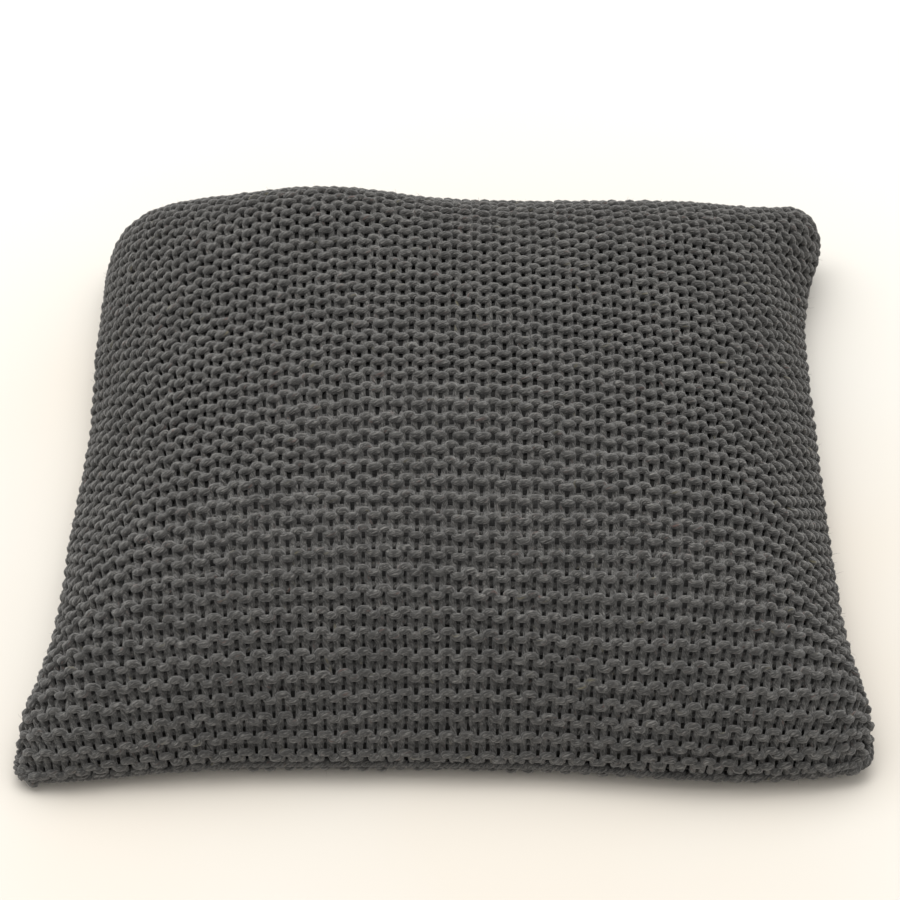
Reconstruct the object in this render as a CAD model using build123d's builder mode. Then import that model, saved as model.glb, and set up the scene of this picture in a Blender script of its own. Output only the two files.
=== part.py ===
"""Square knitted cushion: zipped cover in two knitted panels, lining and a filled insert.

Millimetres. +Z is up and the cushion lies on Z = 0. X runs along the front and rear edges and
+Y points to the rear edge, which holds the zip. The origin is under the middle of the cushion.
"""
from build123d import *
import math
import os

# ---------------------------------------------------------------- cover, overall
COVER_WIDTH = 490.0  # corner to corner along X
COVER_DEPTH = 490.0  # corner to corner along Y
CROWN_HEIGHT = 142.0  # floor to the top of the crown
SIDE_PULL_IN = 9.0  # how far each side curves in between its corners
CORNER_RADIUS = 18.0
CORNER_SPREAD = 300.0  # how much rounder the corners get from the edge to the middle
SEAM_HEIGHT = 14.0  # floor to the seam between the panels
SIDE_FULLNESS = 2.54  # how far out the crown stays high
CROWN_FULLNESS = 0.562  # how bluntly the crown drops at the edge
FLAT_SHARE = 0.88  # share of the underside that lies on the floor

# ---------------------------------------------------------------- cover, layers
KNIT_THICKNESS = 8.0
LINING_THICKNESS = 0.6
LAYER_GAP = 0.4  # between knit, lining and insert

# ---------------------------------------------------------------- seam yarn
SEAM_YARN_HEIGHT = 5.0
SEAM_YARN_DEPTH = 4.0

# ---------------------------------------------------------------- insert
INSERT_EDGE_SLACK = 23.0  # empty rim between the cover's corner and the insert's
INSERT_TOP_SLACK = 2.6  # between the lining and the insert at the crown
CASING_THICKNESS = 0.8
CASING_GAP = 0.3  # between the casing and the filling
INSERT_SEAM_HEIGHT = 1.8
INSERT_SEAM_DEPTH = 3.0
CLOSING_LENGTH = 180.0

# ---------------------------------------------------------------- zip
TAPE_INSET = 27.0  # cover's corner to the end of the tapes
CHAIN_INSET = 23.0  # end of the tapes to the last coil
TAPE_WIDTH = 13.0
TAPE_THICKNESS = 0.6
COIL_WIDTH = 2.4
COIL_THICKNESS = 2.4
CHAIN_SPLIT = 1.4  # between the two coil rows, where the slider's post passes
LIP_GAP = 0.7  # between the slider and the knitted lips that frame it
TAPE_POCKET_GAP = 0.3  # round the tapes, behind the lips

SLIDER_LENGTH = 11.0
SLIDER_WIDTH = 9.0
SLIDER_PLATE = 1.0
SLIDER_CLEARANCE = 0.3  # round the coils and tapes
POST_LENGTH = 2.6
POST_THICKNESS = 0.8
RAIL_WIDTH = 0.9
BAIL_LENGTH = 6.4
BAIL_WIDTH = 1.8
BAIL_WALL = 0.7  # round the pin hole
SLIDER_ROUNDING = 2.2
PIN_RADIUS = 0.65
PIN_CLEARANCE = 0.07  # running fit of the tab's pin in the bail
PIN_HEIGHT = 1.55  # pin axis above the slider's outer plate

TAB_LENGTH = 23.0  # pin axis to the tab's end
TAB_WIDTH = 6.0
TAB_THICKNESS = 1.2
TAB_ARM_GAP = 0.35  # each side of the bail
TAB_HOLE_LENGTH = 7.0

STOP_LENGTH = 3.0
STOP_GAP = 0.3  # between the slider and the stop at the closed end
STITCH_LENGTH = 3.6
STITCH_PITCH = 6.0
STITCH_THICKNESS = 0.5
STITCH_INSET = 3.0  # stitch line in from the tape's free edge

# ---------------------------------------------------------------- label
LABEL_WIDTH = 30.0
LABEL_LENGTH = 22.0
LABEL_HEM = 4.0
LABEL_LEAN = 9.0  # degrees, how much more than the cover's side it leans inward
LABEL_SHARE = 0.93  # share of the half width where the cover's side has turned over
LABEL_THICKNESS = 0.3
LABEL_X = -120.0

# ---------------------------------------------------------------- worked out
SEAM_PLANE = Plane.XY.offset(SEAM_HEIGHT)
EDGE_Y = COVER_DEPTH / 2 - SIDE_PULL_IN
ZIP_Y = EDGE_Y - KNIT_THICKNESS
TAPE_LENGTH = COVER_WIDTH - 2 * TAPE_INSET
CHAIN_LENGTH = TAPE_LENGTH - 2 * CHAIN_INSET
LIP_OPENING = SLIDER_WIDTH + 2 * LIP_GAP
TAPE_OUT_Y = ZIP_Y - COIL_THICKNESS / 2
TAPE_IN_Y = TAPE_OUT_Y - TAPE_THICKNESS
CHAIN_END = CHAIN_LENGTH / 2
SLIDER_X = CHAIN_END - SLIDER_LENGTH / 2 - STOP_GAP
PLATE_OUT_Y = ZIP_Y + COIL_THICKNESS / 2 + SLIDER_CLEARANCE
PLATE_TOP_Y = PLATE_OUT_Y + SLIDER_PLATE
PLATE_IN_Y = TAPE_IN_Y - SLIDER_CLEARANCE
PIN_Y = PLATE_TOP_Y + PIN_HEIGHT
LOWER_TAPE_Z = SEAM_HEIGHT - SLIDER_WIDTH / 2 - 2 * TAPE_THICKNESS
INNER_SKIN = KNIT_THICKNESS + LAYER_GAP
LINING_INSIDE = INNER_SKIN + LINING_THICKNESS
INSERT_FLOOR = LINING_INSIDE + LAYER_GAP
INSERT_SEAM_Z = SEAM_HEIGHT + INSERT_FLOOR / 2
INSERT_TOP = CROWN_HEIGHT - LINING_INSIDE - INSERT_TOP_SLACK
INSERT_WIDTH = COVER_WIDTH - 2 * INSERT_EDGE_SLACK
INSERT_DEPTH = COVER_DEPTH - 2 * INSERT_EDGE_SLACK

# shares of the half width at which the form's levels are drawn
TOP_SHARES = (0.995, 0.975, 0.93, 0.86, 0.75, 0.6, 0.42, 0.22)
NOSE_STEPS = 3
ROUNDEST = 0.96  # largest corner rounding, per half width

os.makedirs("parts", exist_ok=True)


def save(piece, label):
    """Label a piece and write it to its own file."""
    piece.label = label
    export_step(piece, f"parts/{label}.step")


def crown_level(share, rise):
    """Height above the seam and inward slope normal of the crown at a share of the half width."""
    drop = 1 - share**SIDE_FULLNESS
    height = rise * drop**CROWN_FULLNESS
    slope = rise * CROWN_FULLNESS * drop ** (CROWN_FULLNESS - 1)
    slope *= SIDE_FULLNESS * share ** (SIDE_FULLNESS - 1)
    return height, slope


def contour(width, depth, pull_in, share, inset, height):
    """One level of a cushion: a square with curved sides and rounded corners."""
    half_x = width / 2 * share - inset
    half_y = depth / 2 * share - inset
    bow = pull_in * share
    radius = CORNER_RADIUS + CORNER_SPREAD * (1 - share)
    radius = max(radius - inset, CORNER_RADIUS / 3)
    radius = min(radius, ROUNDEST * (min(half_x, half_y) - bow))
    with BuildSketch(Plane.XY.offset(height)) as level:
        with BuildLine():
            ThreePointArc((half_x, -half_y), (half_x - bow, 0), (half_x, half_y))
            ThreePointArc((half_x, half_y), (0, half_y - bow), (-half_x, half_y))
            ThreePointArc((-half_x, half_y), (-half_x + bow, 0), (-half_x, -half_y))
            ThreePointArc((-half_x, -half_y), (0, -half_y + bow), (half_x, -half_y))
        make_face()
        fillet(level.vertices(), radius)
    return level.sketch


def cushion_form(width, depth, pull_in, floor, seam, top, inset):
    """Closed cushion shape, moved inward by the inset along its own surface."""
    half_side = min(width, depth) / 2
    levels = [(FLAT_SHARE, 0.0, floor + inset)]
    for step in range(1, NOSE_STEPS):
        turn = math.pi / 2 * step / NOSE_STEPS
        share = FLAT_SHARE + (1 - FLAT_SHARE) * math.sin(turn)
        rise = (seam - floor) * (1 - math.cos(turn))
        levels.append((share, inset * math.sin(turn), floor + rise + inset * math.cos(turn)))
    levels.append((1.0, inset, seam))
    for share in TOP_SHARES:
        height, slope = crown_level(share, top - seam)
        tilt = math.atan2(half_side, slope)
        levels.append((share, inset * math.cos(tilt), seam + height - inset * math.sin(tilt)))
    with BuildPart() as form:
        for share, shift, height in levels:
            add(contour(width, depth, pull_in, share, shift, height))
        loft(ruled=True)
    return form.part


def edge_strip(width, depth, pull_in, seam, strip_height, strip_depth):
    """Ring that follows the outer edge of a cushion at its seam."""
    low = seam - strip_height / 2
    outer_edge = contour(width, depth, pull_in, 1.0, 0.0, low)
    inner_edge = contour(width, depth, pull_in, 1.0, strip_depth, low)
    with BuildPart() as strip:
        extrude(outer_edge, amount=strip_height, dir=(0, 0, 1))
        extrude(inner_edge, amount=strip_height, dir=(0, 0, 1), mode=Mode.SUBTRACT)
    return strip.part


def cover_form(inset):
    """The cover's shape, moved inward by the inset."""
    return cushion_form(
        COVER_WIDTH, COVER_DEPTH, SIDE_PULL_IN, 0.0, SEAM_HEIGHT, CROWN_HEIGHT, inset
    )


def insert_form(inset):
    """The insert's shape, moved inward by the inset."""
    return cushion_form(
        INSERT_WIDTH,
        INSERT_DEPTH,
        SIDE_PULL_IN,
        INSERT_FLOOR,
        INSERT_SEAM_Z,
        INSERT_TOP,
        inset,
    )


def rear_bar(length, near_y, far_y, low_z, high_z):
    """Straight bar along X between two depths and two heights, centred on X = 0."""
    with BuildPart() as bar:
        with BuildSketch(Plane.YZ):
            with Locations(((near_y + far_y) / 2, (low_z + high_z) / 2)):
                Rectangle(far_y - near_y, high_z - low_z)
        extrude(amount=length / 2, both=True)
    return bar.part


# ---------------------------------------------------------------- room for the zip
pocket_length = TAPE_LENGTH + 2 * TAPE_POCKET_GAP
pocket_near_y = TAPE_IN_Y - STITCH_THICKNESS - TAPE_POCKET_GAP
pocket_far_y = TAPE_OUT_Y + TAPE_POCKET_GAP
upper_tape_top = SEAM_HEIGHT + CHAIN_SPLIT / 2 + TAPE_WIDTH
lower_tape_top = SEAM_HEIGHT - CHAIN_SPLIT / 2
lower_tape_end_y = TAPE_OUT_Y - (TAPE_WIDTH - (lower_tape_top - LOWER_TAPE_Z))

with BuildPart() as zip_room:
    add(
        rear_bar(
            pocket_length,
            PLATE_IN_Y - SLIDER_PLATE - SLIDER_CLEARANCE,
            COVER_DEPTH / 2 + KNIT_THICKNESS,
            SEAM_HEIGHT - LIP_OPENING / 2,
            SEAM_HEIGHT + LIP_OPENING / 2,
        )
    )
    add(
        rear_bar(
            pocket_length,
            pocket_near_y,
            pocket_far_y,
            LOWER_TAPE_Z - TAPE_POCKET_GAP,
            upper_tape_top + TAPE_POCKET_GAP,
        )
    )
    add(
        rear_bar(
            pocket_length,
            lower_tape_end_y - TAPE_POCKET_GAP,
            pocket_far_y,
            LOWER_TAPE_Z - TAPE_POCKET_GAP,
            SEAM_HEIGHT,
        )
    )

# ---------------------------------------------------------------- knitted panels and seam
cover_outside = cover_form(0.0)
cover_inside = cover_form(KNIT_THICKNESS)
seam_ring = edge_strip(
    COVER_WIDTH, COVER_DEPTH, SIDE_PULL_IN, SEAM_HEIGHT, SEAM_YARN_HEIGHT, SEAM_YARN_DEPTH
)

for panel_name, kept_side in (("front_knit_panel", Keep.TOP), ("back_knit_panel", Keep.BOTTOM)):
    with BuildPart() as knit_panel:
        add(cover_outside)
        add(cover_inside, mode=Mode.SUBTRACT)
        split(bisect_by=SEAM_PLANE, keep=kept_side)
        add(seam_ring, mode=Mode.SUBTRACT)
        add(zip_room.part, mode=Mode.SUBTRACT)
    save(knit_panel.part, panel_name)

with BuildPart() as edge_seam_yarn:
    add(seam_ring)
    add(zip_room.part, mode=Mode.SUBTRACT)
save(edge_seam_yarn.part, "edge_seam_yarn")

# ---------------------------------------------------------------- lining
lining_outside = cover_form(INNER_SKIN)
lining_inside = cover_form(LINING_INSIDE)

for lining_name, kept_side in (("lining_front", Keep.TOP), ("lining_back", Keep.BOTTOM)):
    with BuildPart() as lining:
        add(lining_outside)
        add(lining_inside, mode=Mode.SUBTRACT)
        split(bisect_by=SEAM_PLANE, keep=kept_side)
        add(zip_room.part, mode=Mode.SUBTRACT)
    save(lining.part, lining_name)

# ---------------------------------------------------------------- zip tapes and coils
with BuildPart() as zip_tape_upper:
    add(
        rear_bar(
            TAPE_LENGTH,
            TAPE_IN_Y,
            TAPE_OUT_Y,
            SEAM_HEIGHT + CHAIN_SPLIT / 2,
            upper_tape_top,
        )
    )
save(zip_tape_upper.part, "zip_tape_upper")

with BuildPart() as zip_tape_lower:
    add(rear_bar(TAPE_LENGTH, TAPE_IN_Y, TAPE_OUT_Y, LOWER_TAPE_Z, lower_tape_top))
    add(
        rear_bar(
            TAPE_LENGTH,
            lower_tape_end_y,
            TAPE_OUT_Y,
            LOWER_TAPE_Z,
            LOWER_TAPE_Z + TAPE_THICKNESS,
        )
    )
save(zip_tape_lower.part, "zip_tape_lower")

for coil_name, side in (("zip_coil_upper", 1), ("zip_coil_lower", -1)):
    coil_z = SEAM_HEIGHT + side * (CHAIN_SPLIT + COIL_WIDTH) / 2
    with BuildPart() as coil:
        add(
            rear_bar(
                CHAIN_LENGTH,
                TAPE_OUT_Y,
                TAPE_OUT_Y + COIL_THICKNESS,
                coil_z - COIL_WIDTH / 2,
                coil_z + COIL_WIDTH / 2,
            )
        )
        fillet(coil.edges().filter_by(Axis.X).group_by(Axis.Y)[-1], COIL_THICKNESS / 4)
    save(coil.part, coil_name)

# ---------------------------------------------------------------- zip stops
stop_x = CHAIN_END + STOP_LENGTH / 2

with BuildPart() as zip_top_stops:
    for side in (1, -1):
        with Locations((stop_x, ZIP_Y, SEAM_HEIGHT + side * (CHAIN_SPLIT + COIL_WIDTH) / 2)):
            Box(STOP_LENGTH, COIL_THICKNESS, COIL_WIDTH)
save(zip_top_stops.part, "zip_top_stops")

with BuildPart() as zip_bottom_stop:
    with Locations((-stop_x, ZIP_Y, SEAM_HEIGHT)):
        Box(STOP_LENGTH, COIL_THICKNESS, CHAIN_SPLIT + 2 * COIL_WIDTH)
save(zip_bottom_stop.part, "zip_bottom_stop")

# ---------------------------------------------------------------- zip sewing
stitch_count = int((TAPE_LENGTH - STITCH_LENGTH) / STITCH_PITCH)

with BuildPart() as zip_stitches_upper:
    with Locations((0, TAPE_IN_Y, upper_tape_top - STITCH_INSET)):
        with GridLocations(STITCH_PITCH, 1, stitch_count, 1):
            Box(
                STITCH_LENGTH,
                STITCH_THICKNESS,
                STITCH_THICKNESS,
                align=(Align.CENTER, Align.MAX, Align.CENTER),
            )
save(zip_stitches_upper.part, "zip_stitches_upper")

with BuildPart() as zip_stitches_lower:
    with Locations((0, lower_tape_end_y + STITCH_INSET, LOWER_TAPE_Z + TAPE_THICKNESS)):
        with GridLocations(STITCH_PITCH, 1, stitch_count, 1):
            Box(
                STITCH_LENGTH,
                STITCH_THICKNESS,
                STITCH_THICKNESS,
                align=(Align.CENTER, Align.CENTER, Align.MIN),
            )
save(zip_stitches_lower.part, "zip_stitches_lower")

# ---------------------------------------------------------------- zip slider
slider_plane = Plane(origin=(SLIDER_X, 0, SEAM_HEIGHT), x_dir=(1, 0, 0), z_dir=(0, 1, 0))
rail_z = (SLIDER_WIDTH - RAIL_WIDTH) / 2
bail_top_y = PIN_Y + PIN_RADIUS + PIN_CLEARANCE + BAIL_WALL

with BuildPart() as zip_slider:
    with BuildSketch(slider_plane.offset(PLATE_IN_Y - SLIDER_PLATE)):
        RectangleRounded(SLIDER_LENGTH, SLIDER_WIDTH, SLIDER_ROUNDING)
    extrude(amount=SLIDER_PLATE)
    with BuildSketch(slider_plane.offset(PLATE_OUT_Y)):
        RectangleRounded(SLIDER_LENGTH, SLIDER_WIDTH, SLIDER_ROUNDING)
    extrude(amount=SLIDER_PLATE)
    with BuildSketch(slider_plane.offset(PLATE_IN_Y)):
        with Locations(((SLIDER_LENGTH - POST_LENGTH) / 2 - POST_THICKNESS, 0)):
            SlotOverall(POST_LENGTH, POST_THICKNESS)
    extrude(amount=PLATE_OUT_Y - PLATE_IN_Y)
    with BuildSketch(slider_plane.offset(TAPE_OUT_Y + SLIDER_CLEARANCE)):
        with GridLocations(1, 2 * rail_z, 1, 2):
            Rectangle(SLIDER_LENGTH - 2 * SLIDER_ROUNDING, RAIL_WIDTH)
    extrude(amount=PLATE_OUT_Y - TAPE_OUT_Y - SLIDER_CLEARANCE)
    with BuildSketch(Plane.XY.offset(SEAM_HEIGHT - BAIL_WIDTH / 2)):
        with Locations((SLIDER_X, (PLATE_TOP_Y + bail_top_y) / 2)):
            RectangleRounded(BAIL_LENGTH, bail_top_y - PLATE_TOP_Y, PIN_RADIUS)
        with Locations((SLIDER_X, PLATE_TOP_Y + PIN_RADIUS / 2)):
            Rectangle(BAIL_LENGTH, PIN_RADIUS)
        with Locations((SLIDER_X, PIN_Y)):
            Circle(PIN_RADIUS + PIN_CLEARANCE, mode=Mode.SUBTRACT)
    extrude(amount=BAIL_WIDTH)
save(zip_slider.part, "zip_slider")

# ---------------------------------------------------------------- pull tab
pin_plane = slider_plane.offset(PIN_Y - TAB_THICKNESS / 2)
window_width = BAIL_WIDTH + 2 * TAB_ARM_GAP
window_end = BAIL_LENGTH / 2 + TAB_ARM_GAP + PIN_CLEARANCE * 2
arm_reach = TAB_THICKNESS

with BuildPart() as zip_pull_tab:
    with BuildSketch(pin_plane):
        with Locations(((arm_reach - TAB_LENGTH) / 2, 0)):
            RectangleRounded(TAB_LENGTH + arm_reach, TAB_WIDTH, TAB_THICKNESS)
        with Locations(((arm_reach - window_end) / 2, 0)):
            Rectangle(window_end + arm_reach, window_width, mode=Mode.SUBTRACT)
        with Locations((-(TAB_LENGTH - TAB_HOLE_LENGTH / 2 - TAB_THICKNESS * 2), 0)):
            SlotOverall(TAB_HOLE_LENGTH, window_width, mode=Mode.SUBTRACT)
    extrude(amount=TAB_THICKNESS)
    with BuildSketch(Plane.XY.offset(SEAM_HEIGHT - TAB_WIDTH / 2 + TAB_THICKNESS / 4)):
        with Locations((SLIDER_X, PIN_Y)):
            Circle(PIN_RADIUS)
    extrude(amount=TAB_WIDTH - TAB_THICKNESS / 2)
save(zip_pull_tab.part, "zip_pull_tab")

# ---------------------------------------------------------------- insert
insert_outside = insert_form(0.0)
casing_inside = insert_form(CASING_THICKNESS)
insert_plane = Plane.XY.offset(INSERT_SEAM_Z)
insert_ring = edge_strip(
    INSERT_WIDTH, INSERT_DEPTH, SIDE_PULL_IN, INSERT_SEAM_Z, INSERT_SEAM_HEIGHT, INSERT_SEAM_DEPTH
)

for casing_name, kept_side in (
    ("insert_casing_upper", Keep.TOP),
    ("insert_casing_lower", Keep.BOTTOM),
):
    with BuildPart() as casing:
        add(insert_outside)
        add(casing_inside, mode=Mode.SUBTRACT)
        split(bisect_by=insert_plane, keep=kept_side)
        add(insert_ring, mode=Mode.SUBTRACT)
    save(casing.part, casing_name)

with BuildPart() as insert_filling:
    add(insert_form(CASING_THICKNESS + CASING_GAP))
    add(insert_ring, mode=Mode.SUBTRACT)
save(insert_filling.part, "insert_filling")

closing_room = rear_bar(
    CLOSING_LENGTH,
    0,
    INSERT_DEPTH,
    INSERT_SEAM_Z - INSERT_SEAM_HEIGHT,
    INSERT_SEAM_Z + INSERT_SEAM_HEIGHT,
)

with BuildPart() as insert_edge_seam:
    add(insert_ring)
    add(closing_room, mode=Mode.SUBTRACT)
save(insert_edge_seam.part, "insert_edge_seam")

with BuildPart() as insert_closing_seam:
    add(insert_ring)
    add(closing_room, mode=Mode.INTERSECT)
save(insert_closing_seam.part, "insert_closing_seam")

# ---------------------------------------------------------------- care label
label_y = TAPE_IN_Y - STITCH_THICKNESS - LABEL_THICKNESS / 2
label_bend_z = upper_tape_top - STITCH_INSET + STITCH_THICKNESS
side_rise = crown_level(LABEL_SHARE, CROWN_HEIGHT - SEAM_HEIGHT)[0]
label_lean = math.atan2(EDGE_Y * (1 - LABEL_SHARE), side_rise) + math.radians(LABEL_LEAN)

with BuildPart() as care_label:
    with BuildSketch(Plane.YZ.offset(LABEL_X)):
        with BuildLine():
            Polyline(
                (label_y, label_bend_z - LABEL_HEM),
                (label_y, label_bend_z),
                (
                    label_y - LABEL_LENGTH * math.sin(label_lean),
                    label_bend_z + LABEL_LENGTH * math.cos(label_lean),
                ),
            )
        trace(line_width=LABEL_THICKNESS)
    extrude(amount=LABEL_WIDTH)
save(care_label.part, "care_label")
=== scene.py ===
import math

import bpy
import numpy as np
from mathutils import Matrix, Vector


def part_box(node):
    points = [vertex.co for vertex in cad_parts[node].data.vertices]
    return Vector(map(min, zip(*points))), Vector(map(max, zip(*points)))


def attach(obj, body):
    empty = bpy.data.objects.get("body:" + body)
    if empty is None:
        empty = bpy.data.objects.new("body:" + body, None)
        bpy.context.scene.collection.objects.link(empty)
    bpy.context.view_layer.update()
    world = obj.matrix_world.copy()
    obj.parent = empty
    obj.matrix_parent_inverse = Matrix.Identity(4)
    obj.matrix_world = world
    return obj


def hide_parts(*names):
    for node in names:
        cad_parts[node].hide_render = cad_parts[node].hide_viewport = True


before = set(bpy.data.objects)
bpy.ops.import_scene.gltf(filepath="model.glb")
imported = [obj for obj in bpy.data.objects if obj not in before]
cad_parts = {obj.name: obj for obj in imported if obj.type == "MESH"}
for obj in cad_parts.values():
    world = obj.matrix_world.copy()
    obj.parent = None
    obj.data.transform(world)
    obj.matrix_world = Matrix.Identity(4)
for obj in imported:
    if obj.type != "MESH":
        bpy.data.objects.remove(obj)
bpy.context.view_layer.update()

bl_info = {
    "name": "Garter Knit Cushion",
    "version": (1, 0, 0),
    "blender": (4, 5, 0),
    "location": "3D View > Sidebar > Cushion",
    "description": "Builds a zipped garter-stitch cushion, stitch by stitch, round its packed model",
    "category": "Mesh",
}

MM = 0.001
FIBRE = 0.075 * MM
CUSHION = "cushion"
SLIDER = "slider"
PULL_TAB = "pull_tab"

# ------------------------------------------------------------ places read from the frame
SEAM_LOW, SEAM_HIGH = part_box("edge_seam_yarn")
KNIT_LOW, KNIT_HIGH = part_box("front_knit_panel")
TAPE_LOW, TAPE_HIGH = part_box("zip_tape_upper")
COIL_LOW, COIL_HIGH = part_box("zip_coil_upper")
LOWER_COIL_LOW, LOWER_COIL_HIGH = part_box("zip_coil_lower")
SLIDER_LOW, SLIDER_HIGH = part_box("zip_slider")
INSERT_LOW, INSERT_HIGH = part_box("insert_casing_upper")
FILLING_LOW, FILLING_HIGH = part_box("insert_filling")

SEAM_Z = (SEAM_LOW.z + SEAM_HIGH.z) / 2
CROWN_Z = KNIT_HIGH.z
INSERT_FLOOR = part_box("insert_casing_lower")[0].z
CORNER_X = SEAM_HIGH.x
CORNER_Y = SEAM_HIGH.y
ZIP_HALF = TAPE_HIGH.x
LIP_HALF = (SLIDER_HIGH.z - SLIDER_LOW.z) / 2 + 1.8 * MM


# ------------------------------------------------------------ settings
class CushionSettings(bpy.types.PropertyGroup):
    """Shape of the filled cover."""

    pull_in: bpy.props.FloatProperty(
        name="Side pull-in",
        description="How far each side curves in between its corners",
        default=8 * MM,
        unit="LENGTH",
    )
    corner_tip: bpy.props.FloatProperty(
        name="Corner tip",
        description="How far the corners reach out past the sides' curve",
        default=-6 * MM,
        unit="LENGTH",
    )
    side_fullness: bpy.props.FloatProperty(
        name="Side fullness",
        description="How far out the crown stays high",
        default=2.54,
    )
    crown_fullness: bpy.props.FloatProperty(
        name="Crown fullness",
        description="How bluntly the crown drops at the edge",
        default=0.562,
    )
    cells: bpy.props.IntProperty(
        name="Cloth cells",
        description="Cloth cells along each side of a panel",
        default=64,
    )
    frames: bpy.props.IntProperty(
        name="Settling frames",
        description="Frames of cloth simulation",
        default=18,
    )
    pressure: bpy.props.FloatProperty(
        name="Filling pressure",
        description="Pressure of the filling on the cloth",
        default=1.2,
    )
    ease: bpy.props.FloatProperty(
        name="Ease",
        description="How much larger the cover is than its filling",
        default=0.006,
        subtype="FACTOR",
    )
    cap: bpy.props.FloatProperty(
        name="Settling cap",
        description="Largest distance that the cloth may settle",
        default=5 * MM,
        unit="LENGTH",
    )
    fill: bpy.props.FloatProperty(
        name="Fill",
        description="0 is slack and 1 is tight",
        default=0.7,
        subtype="FACTOR",
    )


class KnitSettings(bpy.types.PropertyGroup):
    """Gauge and yarn of the garter-stitch panels."""

    stitches: bpy.props.IntProperty(
        name="Stitches", description="Stitches in a row", default=45
    )
    ridges: bpy.props.IntProperty(
        name="Ridges", description="Garter ridges from front to rear, two rows each", default=48
    )
    bands: bpy.props.IntProperty(
        name="Bands", description="Pieces that a panel is divided into", default=6
    )
    yarn_radius: bpy.props.FloatProperty(
        name="Yarn radius", description="Half the yarn's thickness", default=2.15 * MM, unit="LENGTH"
    )
    loop_depth: bpy.props.FloatProperty(
        name="Loop depth",
        description="How far a loop swings to the front and back of the fabric",
        default=2.95 * MM,
        unit="LENGTH",
    )
    loop_reach: bpy.props.FloatProperty(
        name="Loop reach",
        description="Height of a loop over its row's line, in ridges",
        default=0.44,
    )
    loop_width: bpy.props.FloatProperty(
        name="Loop roundness",
        description="How far loops open at their heads, in stitches",
        default=0.085,
    )
    steps: bpy.props.IntProperty(
        name="Steps per stitch", description="Yarn sections in one stitch", default=14
    )
    sides: bpy.props.IntProperty(
        name="Yarn sides", description="Faces round the yarn", default=8
    )
    seed: bpy.props.IntProperty(name="Seed", description="Seed of the hand of the knitter", default=7)
    yarn_dark: bpy.props.FloatVectorProperty(
        name="Dark fibre", description="Darkest fibres of the melange", subtype="COLOR",
        default=(0.015, 0.0146, 0.0142), size=3,
    )
    yarn_mid: bpy.props.FloatVectorProperty(
        name="Charcoal fibre", description="Main fibre colour", subtype="COLOR",
        default=(0.0425, 0.041, 0.0391), size=3,
    )
    yarn_light: bpy.props.FloatVectorProperty(
        name="Light fibre", description="Lightest fibres of the melange", subtype="COLOR",
        default=(0.176, 0.171, 0.163), size=3,
    )


class StageSettings(bpy.types.PropertyGroup):
    """Camera, light and floor."""

    azimuth: bpy.props.FloatProperty(
        name="Azimuth", description="Camera's turn about the cushion", default=math.radians(0.9),
        subtype="ANGLE",
    )
    elevation: bpy.props.FloatProperty(
        name="Elevation", description="Camera's height angle", default=math.radians(42.6),
        subtype="ANGLE",
    )
    distance: bpy.props.FloatProperty(
        name="Distance", description="Camera to cushion", default=1.9, unit="LENGTH"
    )
    lens: bpy.props.FloatProperty(
        name="Lens", description="Focal length", default=120.7, unit="CAMERA"
    )
    aim: bpy.props.FloatVectorProperty(
        name="Aim", description="Point that the camera looks at", size=3, subtype="TRANSLATION",
        default=(-0.002, 0.003, 0.04),
    )
    floor_colour: bpy.props.FloatVectorProperty(
        name="Floor", description="Floor colour", subtype="COLOR", size=3,
        default=(0.66, 0.658, 0.636),
    )


# ------------------------------------------------------------ small tools
def settings(name):
    """The settings group that was registered under this name."""
    return getattr(bpy.context.scene, name)


def link(obj):
    """Put a new object into the scene."""
    bpy.context.scene.collection.objects.link(obj)
    return obj


def smoothstep(value):
    """0 below 0, 1 above 1 and smooth between."""
    value = np.clip(value, 0.0, 1.0)
    return value * value * (3 - 2 * value)


def mesh_from(name, vertices, faces, material, smooth=True):
    """Mesh object from arrays of vertices and quads or triangles."""
    mesh = bpy.data.meshes.new(name)
    faces = np.asarray(faces, np.int32)
    corners = faces.shape[1]
    mesh.vertices.add(len(vertices))
    mesh.vertices.foreach_set("co", np.asarray(vertices, np.float32).ravel())
    mesh.loops.add(faces.size)
    mesh.loops.foreach_set("vertex_index", faces.ravel())
    mesh.polygons.add(len(faces))
    mesh.polygons.foreach_set("loop_start", np.arange(0, faces.size, corners, dtype=np.int32))
    mesh.polygons.foreach_set("use_smooth", np.full(len(faces), smooth))
    mesh.update(calc_edges=True)
    mesh.validate()
    mesh.materials.append(material)
    return link(bpy.data.objects.new(name, mesh))


def add_uv(obj, name, corner_uv):
    """Store one UV pair for each face corner."""
    layer = obj.data.uv_layers.new(name=name)
    layer.data.foreach_set("uv", np.asarray(corner_uv, np.float32).ravel())


def cubic_weights(offset):
    """Catmull-Rom weights of four neighbours for an offset from 0 to 1."""
    a, b, c = offset, offset**2, offset**3
    return np.stack(
        [(-a + 2 * b - c) / 2, (2 - 5 * b + 3 * c) / 2, (a + 4 * b - 3 * c) / 2, (c - b) / 2]
    )


def sample_grid(grid, across, along):
    """Smooth value of a grid of points at fractions 0 to 1 across and along it."""
    rows, columns = grid.shape[0] - 1, grid.shape[1] - 1
    x = np.clip(across, 0, 1) * columns
    y = np.clip(along, 0, 1) * rows
    column = np.minimum(x.astype(int), columns - 1)
    row = np.minimum(y.astype(int), rows - 1)
    wx = cubic_weights(x - column)
    wy = cubic_weights(y - row)
    padded = np.pad(grid, ((1, 1), (1, 1), (0, 0)), mode="reflect", reflect_type="odd")
    result = np.zeros((len(x), grid.shape[2]))
    for i in range(4):
        for j in range(4):
            weight = wy[i] * wx[j]
            result += weight[:, None] * padded[row + i, column + j]
    return result


def unit(vectors):
    """Vectors scaled to length 1."""
    length = np.linalg.norm(vectors, axis=-1, keepdims=True)
    return vectors / np.maximum(length, 1e-12)


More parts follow.
